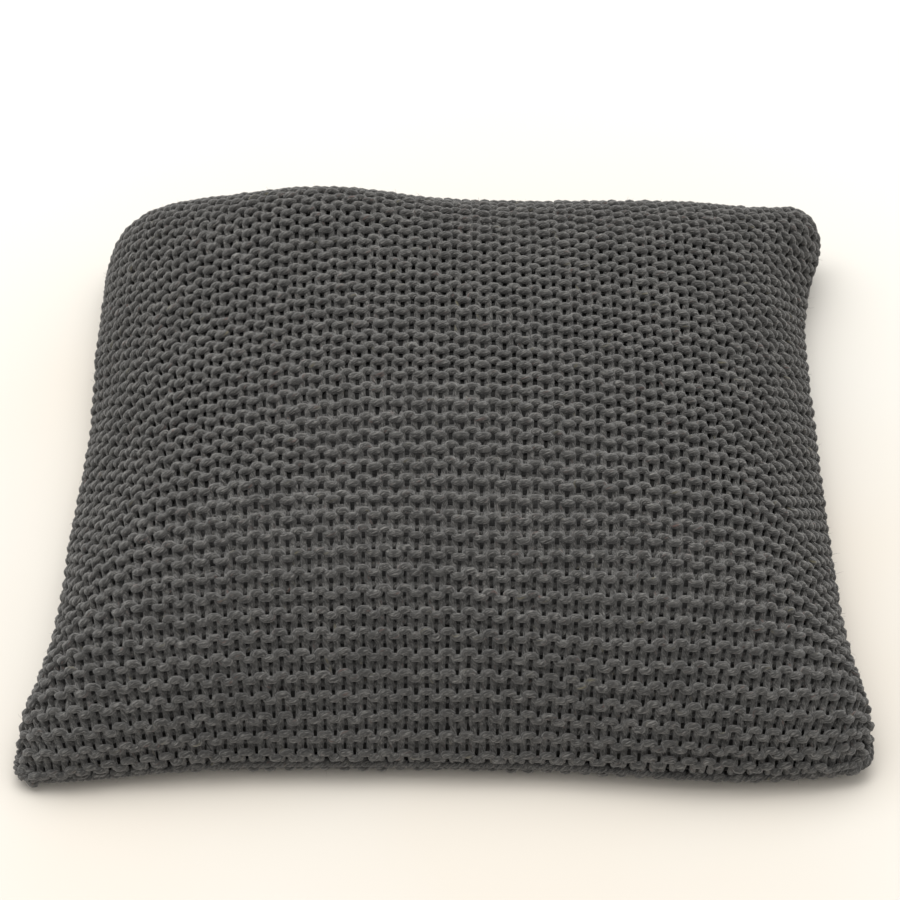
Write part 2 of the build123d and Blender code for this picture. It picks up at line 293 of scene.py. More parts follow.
def smooth_noise(rng, rows, columns, scale):
    """Field of soft random values about 0, with features scale cells wide."""
    coarse = rng.standard_normal((int(rows / scale) + 4, int(columns / scale) + 4, 1))
    across = np.tile(np.linspace(0, 1, columns), rows)
    along = np.repeat(np.linspace(0, 1, rows), columns)
    return sample_grid(coarse, across, along).reshape(rows, columns)


# ------------------------------------------------------------ cushion shape
def crown_profile(cushion, half, rise, samples=800):
    """Plan position and height against arc length, from the middle (0) to the edge (1)."""
    turn = np.linspace(0, math.pi / 2, samples)
    share = np.sin(turn)
    height = (1 - share**cushion.side_fullness) ** cushion.crown_fullness
    steps = np.hypot(np.diff(share * half), np.diff(height * rise))
    arc = np.concatenate([[0], np.cumsum(steps)])
    return arc / arc[-1], share, height


def contour_share(x, y):
    """Share of the half width at which a point lies: square near the edge, round at the crown."""
    share = np.maximum(x, y)
    for _ in range(4):
        power = 2.2 + 16 * np.clip((share - 0.5) / 0.5, 0, 1) ** 1.6
        share = np.minimum((x**power + y**power) ** (1 / power), 1.0)
    return share


def panel_form(cushion, count, is_top, offset, rim, half, pull=0.0, tip_out=0.0, floor=None):
    """Grid of points of one panel: half is its half width in the middle of a side."""
    s = np.linspace(-1, 1, count + 1)
    u, v = np.meshgrid(s, s)
    height = rim(u, v)
    if is_top:
        arc, share, fall = crown_profile(cushion, half, CROWN_Z - SEAM_Z - offset)
        plan_u = np.interp(np.abs(u), arc, share)
        plan_v = np.interp(np.abs(v), arc, share)
        high_u = np.interp(np.abs(u), arc, fall)
        high_v = np.interp(np.abs(v), arc, fall)
        x = np.abs(u) + (plan_u - np.abs(u)) * high_v**0.7
        y = np.abs(v) + (plan_v - np.abs(v)) * high_u**0.7
        level = contour_share(x, y)
        lift = (1 - level**cushion.side_fullness) ** cushion.crown_fullness
        z = height + (CROWN_Z - offset - height) * lift
    else:
        floor = offset if floor is None else floor
        x, y = np.abs(u), np.abs(v)
        nose = np.clip((contour_share(x, y) - 0.86) / 0.14, 0, 1)
        z = floor + (height - floor) * (1 - np.sqrt(1 - nose**2))
    tip = tip_out * np.exp(-((1 - x) + (1 - y)) / 0.05)
    plan_x = x * (half + pull * y**2) + tip * x
    plan_y = y * (half + pull * x**2) + tip * y
    return np.stack([np.sign(u) * plan_x, np.sign(v) * plan_y, z], -1)


def cover_rim(is_top):
    """Height of a knit panel's rim: at the seam, and clear of the zip along the rear."""
    knit = settings("cushion_knit")
    seam_half = 0.9 * knit.yarn_radius
    lip = LIP_HALF + knit.yarn_radius
    sign = 1 if is_top else -1

    def height(u, v):
        along_zip = smoothstep((ZIP_HALF + 17 * MM - np.abs(u) * CORNER_X) / (12 * MM) + 0.5)
        opening = along_zip * smoothstep((v - 0.9) / 0.08)
        return SEAM_Z + sign * (seam_half + (lip - seam_half) * opening)

    return height


def insert_rim(u, v):
    """Height of the insert's own seam."""
    return SEAM_Z + 0 * u


def even_spread(grid, cells):
    """Lay an even net of cells over a surface, so that stitches keep one gauge everywhere."""
    net = None
    for count, rounds in ((16, 240), (32, 90)):
        s = np.linspace(0, 1, count + 1)
        if net is None:
            net = np.stack(np.meshgrid(s, s), -1)
        else:
            net = refine(net, count)
        net = relax_net(grid, net, rounds)
    net = refine(net, cells)
    return sample_grid(grid, net[..., 0].ravel(), net[..., 1].ravel()).reshape(*net.shape[:2], 3)


def relax_net(grid, net, rounds, small=1e-3):
    """Slide the net's knots over the surface until neighbours are evenly apart."""
    size = net.shape[0]
    u, v = net[..., 0].copy(), net[..., 1].copy()
    inner_u = np.ones((size, size))
    inner_u[:, [0, -1]] = 0
    inner_v = inner_u.T
    rest = 0.8 * 2 * np.array([CORNER_Y, CORNER_X]) / (size - 1)

    def place(a, b):
        return sample_grid(grid, a.ravel(), b.ravel()).reshape(size, size, 3)

    for _ in range(rounds):
        here = place(u, v)
        pull = np.zeros_like(here)
        for axis in (0, 1):
            step = np.diff(here, axis=axis)
            length = np.linalg.norm(step, axis=-1, keepdims=True)
            force = step * (1 - rest[axis] / np.maximum(length, 1e-9))
            ahead, behind = [slice(None)] * 2, [slice(None)] * 2
            ahead[axis], behind[axis] = slice(1, None), slice(None, -1)
            pull[tuple(behind)] += force
            pull[tuple(ahead)] -= force
        right = (place(u + small, v) - place(u - small, v)) / (2 * small)
        away = (place(u, v + small) - place(u, v - small)) / (2 * small)
        rr, aa = np.sum(right * right, -1), np.sum(away * away, -1)
        ra = np.sum(right * away, -1) * inner_u * inner_v
        pr, pa = np.sum(pull * right, -1), np.sum(pull * away, -1)
        det = np.maximum(rr * aa - ra * ra, 0.05 * rr * aa) + 1e-12
        u = np.clip(u + 0.18 * inner_u * (pr * aa - pa * ra) / det, 0, 1)
        v = np.clip(v + 0.18 * inner_v * (pa * rr - pr * ra) / det, 0, 1)
    return np.stack([u, v], -1)


def lived_in(points, is_top, with_corners=True):
    """Add the soft hollows, swells and corner ears of a cushion that has been handled."""
    x, y, z = points[..., 0], points[..., 1], points[..., 2]
    beside_zip = 1.0 if is_top else smoothstep((x - ZIP_HALF + 16 * MM) / (26 * MM))
    lift = np.clip((z - SEAM_Z) / (CROWN_Z - SEAM_Z), 0, 1)
    result = points.copy()

    def weight(at_x, at_y, wide_x, wide_y):
        return np.exp(-(((x - at_x) / wide_x) ** 2) - ((y - at_y) / wide_y) ** 2)

    rise = 18 * MM * weight(-0.085, 0.15, 0.07, 0.055) - 3.5 * MM
    rise = rise + 2 * MM * weight(0.13, 0.17, 0.11, 0.06) - 3 * MM * weight(0.03, -0.02, 0.12, 0.1)
    result[..., 2] += rise * lift**0.5
    sags = (
        ((-CORNER_X, CORNER_Y), (0.05, 0.05), (3, -3, 0)),
        ((-CORNER_X, -CORNER_Y), (0.065, 0.05), (-15, -9, -3)),
        ((-0.2, -0.2), (0.045, 0.045), (-3, -2, -8)),
        ((0.2, -0.2), (0.045, 0.045), (3, 0, -6)),
        ((CORNER_X, -CORNER_Y), (0.065, 0.06), (10, 5, 2)),
        ((0.15, -CORNER_Y), (0.06, 0.04), (0, -5, -1)),
        ((0, -CORNER_Y), (0.3, 0.03), (0, -5, -2.5)),
        ((CORNER_X, 0.14), (0.03, 0.09), (-5, 0, 0)),
        ((-CORNER_X, 0.1), (0.03, 0.05), (-2, 0, 0)),
        ((-CORNER_X, -0.06), (0.03, 0.05), (-2, 0, 0)),
    )
    if not with_corners:
        return result
    ear = weight(CORNER_X - 0.008, CORNER_Y - 0.008, 0.03, 0.05) * beside_zip
    result += ear[..., None] * np.array([14, 9, 15]) * MM
    for (at_x, at_y), (wide_x, wide_y), move in sags:
        result += weight(at_x, at_y, wide_x, wide_y)[..., None] * np.array(move) * MM
    low = SEAM_LOW.z - 3 * MM
    result[..., 2] = np.maximum(result[..., 2], np.minimum(low, z))
    return result


def calm(field, rounds):
    """Even out a field over its grid and keep its rims."""
    field = field.copy()
    for _ in range(rounds):
        inner = field[:, 1:-1, 1:-1]
        around = field[:, :-2, 1:-1] + field[:, 2:, 1:-1] + field[:, 1:-1, :-2] + field[:, 1:-1, 2:]
        field[:, 1:-1, 1:-1] = inner / 2 + around / 8
    return field


def settle_cloth(grids, cushion):
    """Let both panels settle as cloth over the filling and return their grids."""
    count = cushion.cells
    size = count + 1
    vertices = np.concatenate([g.reshape(-1, 3) for g in grids])
    index = np.arange(size * size).reshape(size, size)
    quads = np.stack([index[:-1, :-1], index[:-1, 1:], index[1:, 1:], index[1:, :-1]], -1)
    top = quads.reshape(-1, 4)
    bottom = top[:, ::-1] + size * size
    ring = np.concatenate([index[0, :-1], index[:-1, -1], index[-1, :0:-1], index[:0:-1, 0]])
    following = np.roll(ring, -1)
    wall = np.stack([ring, ring + size * size, following + size * size, following], -1)
    cloth = mesh_from(
        "cover_cloth", vertices, np.concatenate([top, bottom, wall]), bpy.data.materials.new("cloth")
    )
    pins = cloth.vertex_groups.new(name="seam")
    held = np.concatenate([ring, ring + size * size])
    pins.add([int(i) for i in held], 1.0, "REPLACE")
    flat = np.abs(grids[1][..., 2] - grids[1][..., 2].min()) < 0.5 * MM
    resting = (index + size * size)[flat]
    pins.add([int(i) for i in resting], 0.9, "REPLACE")
    modifier = cloth.modifiers.new("Cloth", "CLOTH")
    physics = modifier.settings
    physics.quality = 6
    physics.mass = 0.35
    physics.tension_stiffness = 25
    physics.compression_stiffness = 25
    physics.shear_stiffness = 8
    physics.bending_stiffness = 30
    physics.tension_damping = 8
    physics.use_pressure = True
    physics.uniform_pressure_force = cushion.pressure
    physics.shrink_min = -cushion.ease
    physics.vertex_group_mass = "seam"
    physics.effector_weights.gravity = 0
    modifier.collision_settings.use_collision = False
    modifier.point_cache.frame_start = 1
    modifier.point_cache.frame_end = cushion.frames
    scene = bpy.context.scene
    for frame_number in range(1, cushion.frames + 1):
        scene.frame_set(frame_number)
    settled = cloth.evaluated_get(bpy.context.evaluated_depsgraph_get()).to_mesh()
    moved = np.zeros(len(vertices) * 3, np.float32)
    settled.vertices.foreach_get("co", moved)
    shift = calm((moved.reshape(-1, 3) - vertices).reshape(2, size, size, 3), 10).reshape(-1, 3)
    length = np.linalg.norm(shift, axis=1, keepdims=True)
    shift *= cushion.cap * np.tanh(length / cushion.cap) / np.maximum(length, 1e-9)
    print("cloth moved at most", round(float(length.max()) / MM, 2), "mm")
    scene.frame_set(1)
    bpy.data.objects.remove(cloth)
    result = (vertices + shift).reshape(2, size, size, 3)
    return result[0], result[1]


SURFACES = {}


def cover_surfaces():
    """Middle surfaces of both knit panels and both halves of the insert, made once."""
    if SURFACES:
        return SURFACES
    cushion, knit = settings("cushion_form"), settings("cushion_knit")
    inset = knit.loop_depth + knit.yarn_radius
    half = CORNER_X - cushion.pull_in - inset
    insert_half = INSERT_HIGH.x - 1.5 * MM
    insert_inset = CROWN_Z - INSERT_HIGH.z + 3.5 * MM
    grids, inserts = [], []
    for is_top in (True, False):
        form = panel_form(
            cushion, 160, is_top, inset, cover_rim(is_top), half, cushion.pull_in, cushion.corner_tip
        )
        grids.append(even_spread(lived_in(form, is_top), cushion.cells))
        insert = panel_form(
            cushion, 160, is_top, insert_inset, insert_rim, insert_half, floor=INSERT_FLOOR
        )
        inserts.append(even_spread(lived_in(insert, is_top, False), cushion.cells))
    before = np.asarray(grids)
    after = np.asarray(settle_cloth(grids, cushion))
    after[1, ..., 2] = np.maximum(after[1, ..., 2], inset + 0.3 * MM)
    SURFACES["upper"], SURFACES["lower"] = after
    inserts[0][1:-1, 1:-1] += 0.9 * (after - before)[0, 1:-1, 1:-1]
    SURFACES["insert_upper"] = inserts[0]
    SURFACES["insert_lower"] = inserts[1]
    return SURFACES


def frame_at(grid, across, along, outward):
    """Points, directions and outward normals of a surface at fractions 0 to 1."""
    step = 0.004
    here = sample_grid(grid, across, along)
    right = sample_grid(grid, across + step, along) - sample_grid(grid, across - step, along)
    away = sample_grid(grid, across, along + step) - sample_grid(grid, across, along - step)
    normal = unit(np.cross(right, away)) * outward
    return here, unit(right), unit(away), normal


# ------------------------------------------------------------ materials
def node_group(name, inputs, outputs):
    """New shader group with named sockets."""
    group = bpy.data.node_groups.new(name, "ShaderNodeTree")
    for label, kind, value in inputs:
        socket = group.interface.new_socket(label, in_out="INPUT", socket_type=kind)
        if value is not None:
            socket.default_value = value
    for label, kind in outputs:
        group.interface.new_socket(label, in_out="OUTPUT", socket_type=kind)
    enter = group.nodes.new("NodeGroupInput")
    leave = group.nodes.new("NodeGroupOutput")
    return group, enter, leave


def math_node(group, operation, first, second=None, third=None):
    """Math node whose inputs are sockets or plain values."""
    node = group.nodes.new("ShaderNodeMath")
    node.operation = operation
    for index, value in enumerate((first, second, third)):
        if value is None:
            continue
        if isinstance(value, bpy.types.NodeSocket):
            group.links.new(value, node.inputs[index])
        else:
            node.inputs[index].default_value = value
    return node.outputs[0]


def noise_node(group, vector, scale, detail, distortion=0.0):
    """Noise texture read at a vector."""
    node = group.nodes.new("ShaderNodeTexNoise")
    node.inputs["Scale"].default_value = scale
    node.inputs["Detail"].default_value = detail
    node.inputs["Distortion"].default_value = distortion
    group.links.new(vector, node.inputs["Vector"])
    return node.outputs["Fac"]


def range_node(group, value, low, high, to_low=0.0, to_high=1.0):
    """Value moved from one range to another and kept inside it."""
    node = group.nodes.new("ShaderNodeMapRange")
    node.inputs["From Min"].default_value = low
    node.inputs["From Max"].default_value = high
    node.inputs["To Min"].default_value = to_low
    node.inputs["To Max"].default_value = to_high
    group.links.new(value, node.inputs["Value"])
    return node.outputs[0]


def mix_node(group, factor, first, second):
    """Colour between two colours, which are sockets or plain values."""
    node = group.nodes.new("ShaderNodeMix")
    node.data_type = "RGBA"
    group.links.new(factor, node.inputs["Factor"])
    for label, value in (("A", first), ("B", second)):
        if isinstance(value, bpy.types.NodeSocket):
            group.links.new(value, node.inputs[label])
        else:
            node.inputs[label].default_value = [*value, 1.0]
    return node.outputs["Result"]


def melange_group():
    """Fibre colours and fibre relief that wind along the yarn."""
    group = bpy.data.node_groups.get("Melange fibre")
    if group:
        return group
    group, enter, leave = node_group(
        "Melange fibre",
        [
            ("Dark", "NodeSocketColor", None),
            ("Mid", "NodeSocketColor", None),
            ("Light", "NodeSocketColor", None),
            ("Turns per metre", "NodeSocketFloat", 45.0),
        ],
        [("Color", "NodeSocketColor"), ("Height", "NodeSocketFloat")],
    )
    make, wire = group.nodes.new, group.links.new
    uv = make("ShaderNodeUVMap")
    uv.uv_map = "yarn"
    split = make("ShaderNodeSeparateXYZ")
    wire(uv.outputs[0], split.inputs[0])
    wound = math_node(group, "MULTIPLY_ADD", split.outputs[0], enter.outputs["Turns per metre"])
    wire(split.outputs[1], wound.node.inputs[2])
    angle = math_node(group, "MULTIPLY", wound, 2 * math.pi)
    place = make("ShaderNodeCombineXYZ")
    wire(math_node(group, "MULTIPLY", split.outputs[0], 190.0), place.inputs[0])
    wire(math_node(group, "MULTIPLY", math_node(group, "COSINE", angle), 1.8), place.inputs[1])
    wire(math_node(group, "MULTIPLY", math_node(group, "SINE", angle), 1.8), place.inputs[2])
    vector = place.outputs[0]
    fibres = noise_node(group, vector, 1.0, 6, 0.6)
    strands = noise_node(group, vector, 2.3, 4, 0.3)
    flecks = noise_node(group, vector, 0.83, 3, 0.4)
    heather = noise_node(group, vector, 0.41, 2)
    base = mix_node(
        group, range_node(group, fibres, 0.36, 0.6), enter.outputs["Dark"], enter.outputs["Mid"]
    )
    light = mix_node(group, range_node(group, strands, 0.5, 0.68), base, enter.outputs["Light"])
    rust = mix_node(group, range_node(group, flecks, 0.66, 0.74), light, (0.09, 0.055, 0.048))
    straw = mix_node(group, range_node(group, heather, 0.7, 0.8), rust, (0.12, 0.108, 0.066))
    wire(straw, leave.inputs["Color"])
    wire(math_node(group, "ADD", fibres, strands), leave.inputs["Height"])
    return group


def new_material(name, roughness):
    """Material with a Principled shader and its main values."""
    material = bpy.data.materials.new(name)
    material.use_nodes = True
    shader = material.node_tree.nodes["Principled BSDF"]
    shader.inputs["Roughness"].default_value = roughness
    return material, shader


def yarn_material(name, dim=1.0):
    """Charcoal melange yarn with fibre colours, tone drift and soft relief."""
    known = bpy.data.materials.get(name)
    if known:
        return known
    knit = settings("cushion_knit")
    material, shader = new_material(name, 0.92)
    nodes, wire = material.node_tree.nodes, material.node_tree.links.new
    melange = nodes.new("ShaderNodeGroup")
    melange.node_tree = melange_group()
    for label, colour in (("Dark", knit.yarn_dark), ("Mid", knit.yarn_mid), ("Light", knit.yarn_light)):
        melange.inputs[label].default_value = [c * dim for c in colour] + [1.0]
    place = nodes.new("ShaderNodeTexCoord")
    drift = nodes.new("ShaderNodeTexNoise")
    drift.inputs["Scale"].default_value = 55
    drift.inputs["Detail"].default_value = 2
    wire(place.outputs["Object"], drift.inputs["Vector"])
    tone = nodes.new("ShaderNodeMapRange")
    tone.inputs["From Min"].default_value = 0.3
    tone.inputs["From Max"].default_value = 0.7
    tone.inputs["To Min"].default_value = 0.8
    tone.inputs["To Max"].default_value = 1.2
    wire(drift.outputs["Fac"], tone.inputs["Value"])
    tinted = nodes.new("ShaderNodeVectorMath")
    tinted.operation = "SCALE"
    wire(melange.outputs["Color"], tinted.inputs[0])
    wire(tone.outputs[0], tinted.inputs["Scale"])
    wire(tinted.outputs[0], shader.inputs["Base Color"])
    bump = nodes.new("ShaderNodeBump")
    bump.inputs["Strength"].default_value = 0.9
    bump.inputs["Distance"].default_value = 0.6 * MM
    wire(melange.outputs["Height"], bump.inputs["Height"])
    wire(bump.outputs[0], shader.inputs["Normal"])
    shader.inputs["Sheen Weight"].default_value = 0.27
    shader.inputs["Sheen Roughness"].default_value = 0.6
    shader.inputs["Specular IOR Level"].default_value = 0.15
    return material


def weave_group():
    """Plain weave: crossing threads with their own relief."""
    group = bpy.data.node_groups.get("Plain weave")
    if group:
        return group
    group, enter, leave = node_group(
        "Plain weave",
        [
            ("Thread", "NodeSocketColor", None),
            ("Gap", "NodeSocketColor", None),
            ("Pitch", "NodeSocketFloat", 900.0),
        ],
        [("Color", "NodeSocketColor"), ("Height", "NodeSocketFloat")],
    )
    make, wire = group.nodes.new, group.links.new
    place = make("ShaderNodeTexCoord")
    waves = []
    for direction in ("X", "Y", "Z"):
        wave = make("ShaderNodeTexWave")
        wave.bands_direction = direction
        wave.inputs["Distortion"].default_value = 0.4
        wire(place.outputs["Object"], wave.inputs["Vector"])
        wire(enter.outputs["Pitch"], wave.inputs["Scale"])
        waves.append(wave)
    first = make("ShaderNodeMath")
    first.operation = "MULTIPLY"
    wire(waves[0].outputs["Fac"], first.inputs[0])
    wire(waves[1].outputs["Fac"], first.inputs[1])
    second = make("ShaderNodeMath")
    second.operation = "MAXIMUM"
    wire(first.outputs[0], second.inputs[0])
    wire(waves[2].outputs["Fac"], second.inputs[1])
    grain = make("ShaderNodeTexNoise")
    grain.inputs["Scale"].default_value = 300
    wire(place.outputs["Object"], grain.inputs["Vector"])
    height = make("ShaderNodeMath")
    height.operation = "MULTIPLY"
    wire(second.outputs[0], height.inputs[0])
    wire(grain.outputs["Fac"], height.inputs[1])
    colour = make("ShaderNodeMix")
    colour.data_type = "RGBA"
    wire(height.outputs[0], colour.inputs["Factor"])
    wire(enter.outputs["Gap"], colour.inputs["A"])
    wire(enter.outputs["Thread"], colour.inputs["B"])
    wire(colour.outputs["Result"], leave.inputs["Color"])
    wire(height.outputs[0], leave.inputs["Height"])
    return group


def woven_material(name, thread, gap, pitch, roughness, relief):
    """Woven cloth, tape or ribbon."""
    known = bpy.data.materials.get(name)
    if known:
        return known
    material, shader = new_material(name, roughness)
    nodes, wire = material.node_tree.nodes, material.node_tree.links.new
    weave = nodes.new("ShaderNodeGroup")
    weave.node_tree = weave_group()
    weave.inputs["Thread"].default_value = [*thread, 1.0]
    weave.inputs["Gap"].default_value = [*gap, 1.0]
    weave.inputs["Pitch"].default_value = pitch
    wire(weave.outputs["Color"], shader.inputs["Base Color"])
    bump = nodes.new("ShaderNodeBump")
    bump.inputs["Strength"].default_value = 0.5
    bump.inputs["Distance"].default_value = relief
    wire(weave.outputs["Height"], bump.inputs["Height"])
    wire(bump.outputs[0], shader.inputs["Normal"])
    return material


def worn_group():
    """Fine handling marks: a mask that varies over a hard surface."""
    group = bpy.data.node_groups.get("Handling marks")
    if group:
        return group
    group, enter, leave = node_group(
        "Handling marks",
        [("Scale", "NodeSocketFloat", 900.0)],
        [("Mask", "NodeSocketFloat"), ("Roughness", "NodeSocketFloat")],
    )
    make, wire = group.nodes.new, group.links.new
    place = make("ShaderNodeTexCoord")
    noise = make("ShaderNodeTexNoise")
    noise.inputs["Detail"].default_value = 6
    wire(place.outputs["Object"], noise.inputs["Vector"])
    wire(enter.outputs["Scale"], noise.inputs["Scale"])
    mask = make("ShaderNodeMapRange")
    mask.inputs["From Min"].default_value = 0.42
    mask.inputs["From Max"].default_value = 0.75
    wire(noise.outputs["Fac"], mask.inputs["Value"])
    rough = make("ShaderNodeMapRange")
    rough.inputs["To Min"].default_value = 0.28
    rough.inputs["To Max"].default_value = 0.52
    wire(noise.outputs["Fac"], rough.inputs["Value"])
    wire(mask.outputs[0], leave.inputs["Mask"])
    wire(rough.outputs[0], leave.inputs["Roughness"])
    return group


def hard_material(name, base, worn, metallic, scale):
    """Lacquered metal or moulded nylon with fine handling marks."""
    known = bpy.data.materials.get(name)
    if known:
        return known
    material, shader = new_material(name, 0.4)
    nodes, wire = material.node_tree.nodes, material.node_tree.links.new
    marks = nodes.new("ShaderNodeGroup")
    marks.node_tree = worn_group()
    marks.inputs["Scale"].default_value = scale
    colour = nodes.new("ShaderNodeMix")
    colour.data_type = "RGBA"
    colour.inputs["A"].default_value = [*base, 1.0]
    colour.inputs["B"].default_value = [*worn, 1.0]
    wire(marks.outputs["Mask"], colour.inputs["Factor"])
    wire(colour.outputs["Result"], shader.inputs["Base Color"])
    wire(marks.outputs["Roughness"], shader.inputs["Roughness"])
    bump = nodes.new("ShaderNodeBump")
    bump.inputs["Strength"].default_value = 0.15
    bump.inputs["Distance"].default_value = 0.05 * MM
    wire(marks.outputs["Mask"], bump.inputs["Height"])
    wire(bump.outputs[0], shader.inputs["Normal"])
    shader.inputs["Metallic"].default_value = metallic
    return material


def fibre_material(name, light, shade, scale):
    """Loose fibre or non-woven felt."""
    known = bpy.data.materials.get(name)
    if known:
        return known
    material, shader = new_material(name, 0.9)
    nodes, wire = material.node_tree.nodes, material.node_tree.links.new
    place = nodes.new("ShaderNodeTexCoord")
    noise = nodes.new("ShaderNodeTexNoise")
    noise.inputs["Scale"].default_value = scale
    noise.inputs["Detail"].default_value = 8
    noise.inputs["Distortion"].default_value = 1.2
    wire(place.outputs["Object"], noise.inputs["Vector"])
    colour = nodes.new("ShaderNodeMix")
    colour.data_type = "RGBA"
    colour.inputs["A"].default_value = [*shade, 1.0]
    colour.inputs["B"].default_value = [*light, 1.0]
    wire(noise.outputs["Fac"], colour.inputs["Factor"])
    wire(colour.outputs["Result"], shader.inputs["Base Color"])
    bump = nodes.new("ShaderNodeBump")
    bump.inputs["Strength"].default_value = 0.6
    bump.inputs["Distance"].default_value = 0.5 * MM
    wire(noise.outputs["Fac"], bump.inputs["Height"])
    wire(bump.outputs[0], shader.inputs["Normal"])
    return material


# ------------------------------------------------------------ yarn
def tube(centre, normal, radius, sides):
    """Rings of points round a centre line, one ring for each point, and how far along it each is."""
    ahead = np.gradient(centre, axis=0)
    ahead = unit(ahead)
    first = unit(normal - np.sum(normal * ahead, axis=1, keepdims=True) * ahead)
    second = np.cross(ahead, first)
    turn = 2 * math.pi * np.arange(sides) / sides
    radius = np.broadcast_to(np.asarray(radius, float).reshape(-1, 1, 1), (len(centre), 1, 1))
    ring = (
        first[:, None, :] * np.cos(turn)[None, :, None]
        + second[:, None, :] * np.sin(turn)[None, :, None]
    )
    length = np.concatenate([[0], np.cumsum(np.linalg.norm(np.diff(centre, axis=0), axis=1))])
    return centre[:, None, :] + ring * radius, length


def tube_faces(points, sides, start):
    """Quads between the rings of one tube."""
    ring = np.arange(points)[:, None] * sides + np.arange(sides)[None, :] + start
    after = np.roll(ring, -1, axis=1)
    return np.stack([ring[:-1], after[:-1], after[1:], ring[1:]], -1).reshape(-1, 4)


def knit_rows(grid, outward, first_row, last_row, knit, rng):
    """Yarn of the rows of one band: vertices, quads, yarn UVs and bake UVs."""
    stitches, ridges = knit.stitches, knit.ridges
    steps, sides = knit.steps, knit.sides
    count = stitches * steps + 1
    t = np.linspace(0, stitches, count)
    phase = 2 * math.pi * t
    edge = 0.06 / stitches
    vertices, faces, yarn_uv, bake_uv = [], [], [], []
    rows = last_row - first_row
    wobble = smooth_noise(np.random.default_rng(knit.seed), 2 * ridges + 1, stitches + 1, 7.0)
    start = 0
    for row in range(first_row, last_row):
        to_front = 1.0 if row % 2 == 0 else -1.0
        size = stitches + 1
        tall = np.interp(t, np.arange(size), 1 + 0.09 * rng.standard_normal(size))
        deep = np.interp(t, np.arange(size), 1 + 0.10 * rng.standard_normal(size))
        thick = np.interp(t, np.arange(size), 1 + 0.05 * rng.standard_normal(size))
        slide = np.interp(t, np.arange(size), 0.035 * rng.standard_normal(size))
        line = np.interp(t, np.arange(size), wobble[row])
        x = t + slide + knit.loop_width * np.sin(2 * phase)
        arch = np.cos(phase) - 0.13 * np.cos(3 * phase)
        y = (row + 0.5) / 2 - knit.loop_reach * tall * arch + 0.10 * line
        z = -to_front * knit.loop_depth * deep * np.cos(phase)
        across = edge + (1 - 2 * edge) * x / stitches
        along = (y + 0.1) / (ridges + 0.2)
        here, _, _, normal = frame_at(grid, across, along, outward)
        centre = here + normal * z[:, None]
        swell = 1 + 0.09 * np.cos(2 * phase)
        closed = np.minimum(np.arange(count), np.arange(count)[::-1]) / 2
        radius = knit.yarn_radius * thick * swell * np.clip(closed, 0.15, 1)
        rings, length = tube(centre, normal, radius, sides)
        vertices.append(rings.reshape(-1, 3))
        quads = tube_faces(count, sides, start)
        faces.append(quads)
        vertices[-1][:, 2] = np.maximum(vertices[-1][:, 2], 0.1 * MM)
        u = np.repeat(length, sides).reshape(count, sides) + 0.37 * row
        around = np.arange(sides + 1) / sides
        u_low, u_high = u[:-1, :], u[1:, :]
        v_here = np.broadcast_to(around[:-1], (count - 1, sides))
        v_next = np.broadcast_to(around[1:], (count - 1, sides))
        yarn_uv.append(
            np.stack([u_low, v_here, u_low, v_next, u_high, v_next, u_high, v_here], -1).reshape(-1, 2)
        )
        strip = (row - first_row + 0.04) / rows
        tall_strip = 0.92 / rows
        i = np.arange(count - 1)[:, None] / (count - 1)
        j = np.arange(count - 1)[:, None] / (count - 1) + 1 / (count - 1)
        i = np.broadcast_to(i, (count - 1, sides))
        j = np.broadcast_to(j, (count - 1, sides))
        low = strip + tall_strip * v_here
        high = strip + tall_strip * v_next
        bake_uv.append(np.stack([i, low, i, high, j, high, j, low], -1).reshape(-1, 2))
        start += count * sides
    return (
        np.concatenate(vertices),
        np.concatenate(faces),
        np.concatenate(yarn_uv),
        np.concatenate(bake_uv),
    )


def knit_panel(name, node, grid, outward):
    """One garter-stitch panel, in bands of rows."""
    knit = settings("cushion_knit")
    rows = 2 * knit.ridges
    step = rows // knit.bands
    rng = np.random.default_rng(knit.seed + (1 if outward > 0 else 2))
    pieces = []
    for band in range(knit.bands):
        first = band * step
        vertices, faces, yarn_uv, bake_uv = knit_rows(grid, outward, first, first + step, knit, rng)
        piece = mesh_from(f"{name}_band_{band + 1}", vertices, faces, yarn_material("charcoal_yarn"))
        add_uv(piece, "yarn", yarn_uv)
        add_uv(piece, "OFBake", bake_uv)
        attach(piece, CUSHION)
        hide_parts(node)
        settings("cushion_form").fill
        pieces.append(piece)
    return pieces


def rim_path(upper, lower, gap):
    """Points halfway between the two rims, from one end of the zip round to the other."""
    steps = 260
    side = np.linspace(0, 1, steps)
    rear_right = np.linspace(1 - gap, 1, 30)
    rear_left = np.linspace(0, gap, 30)
    across = np.concatenate([rear_right, np.ones(steps), side[::-1], np.zeros(steps), rear_left])
    along = np.concatenate([np.ones(30), side[::-1], np.zeros(steps), side, np.ones(30)])
    path = (sample_grid(upper, across, along) + sample_grid(lower, across, along)) / 2
    keep = np.concatenate([[True], np.linalg.norm(np.diff(path, axis=0), axis=1) > 0.1 * MM])
    return path[keep]


def resample(path, spacing):
    """The path at even steps."""
    length = np.concatenate([[0], np.cumsum(np.linalg.norm(np.diff(path, axis=0), axis=1))])
    where = np.linspace(0, length[-1], int(length[-1] / spacing) + 1)
    return np.stack([np.interp(where, length, path[:, k]) for k in range(3)], -1), where


def soften(path, rounds):
    """Round the path's sharp turns and keep its ends."""
    path = path.copy()
    for _ in range(rounds):
        path[1:-1] = (path[:-2] + 2 * path[1:-1] + path[2:]) / 4
    return path


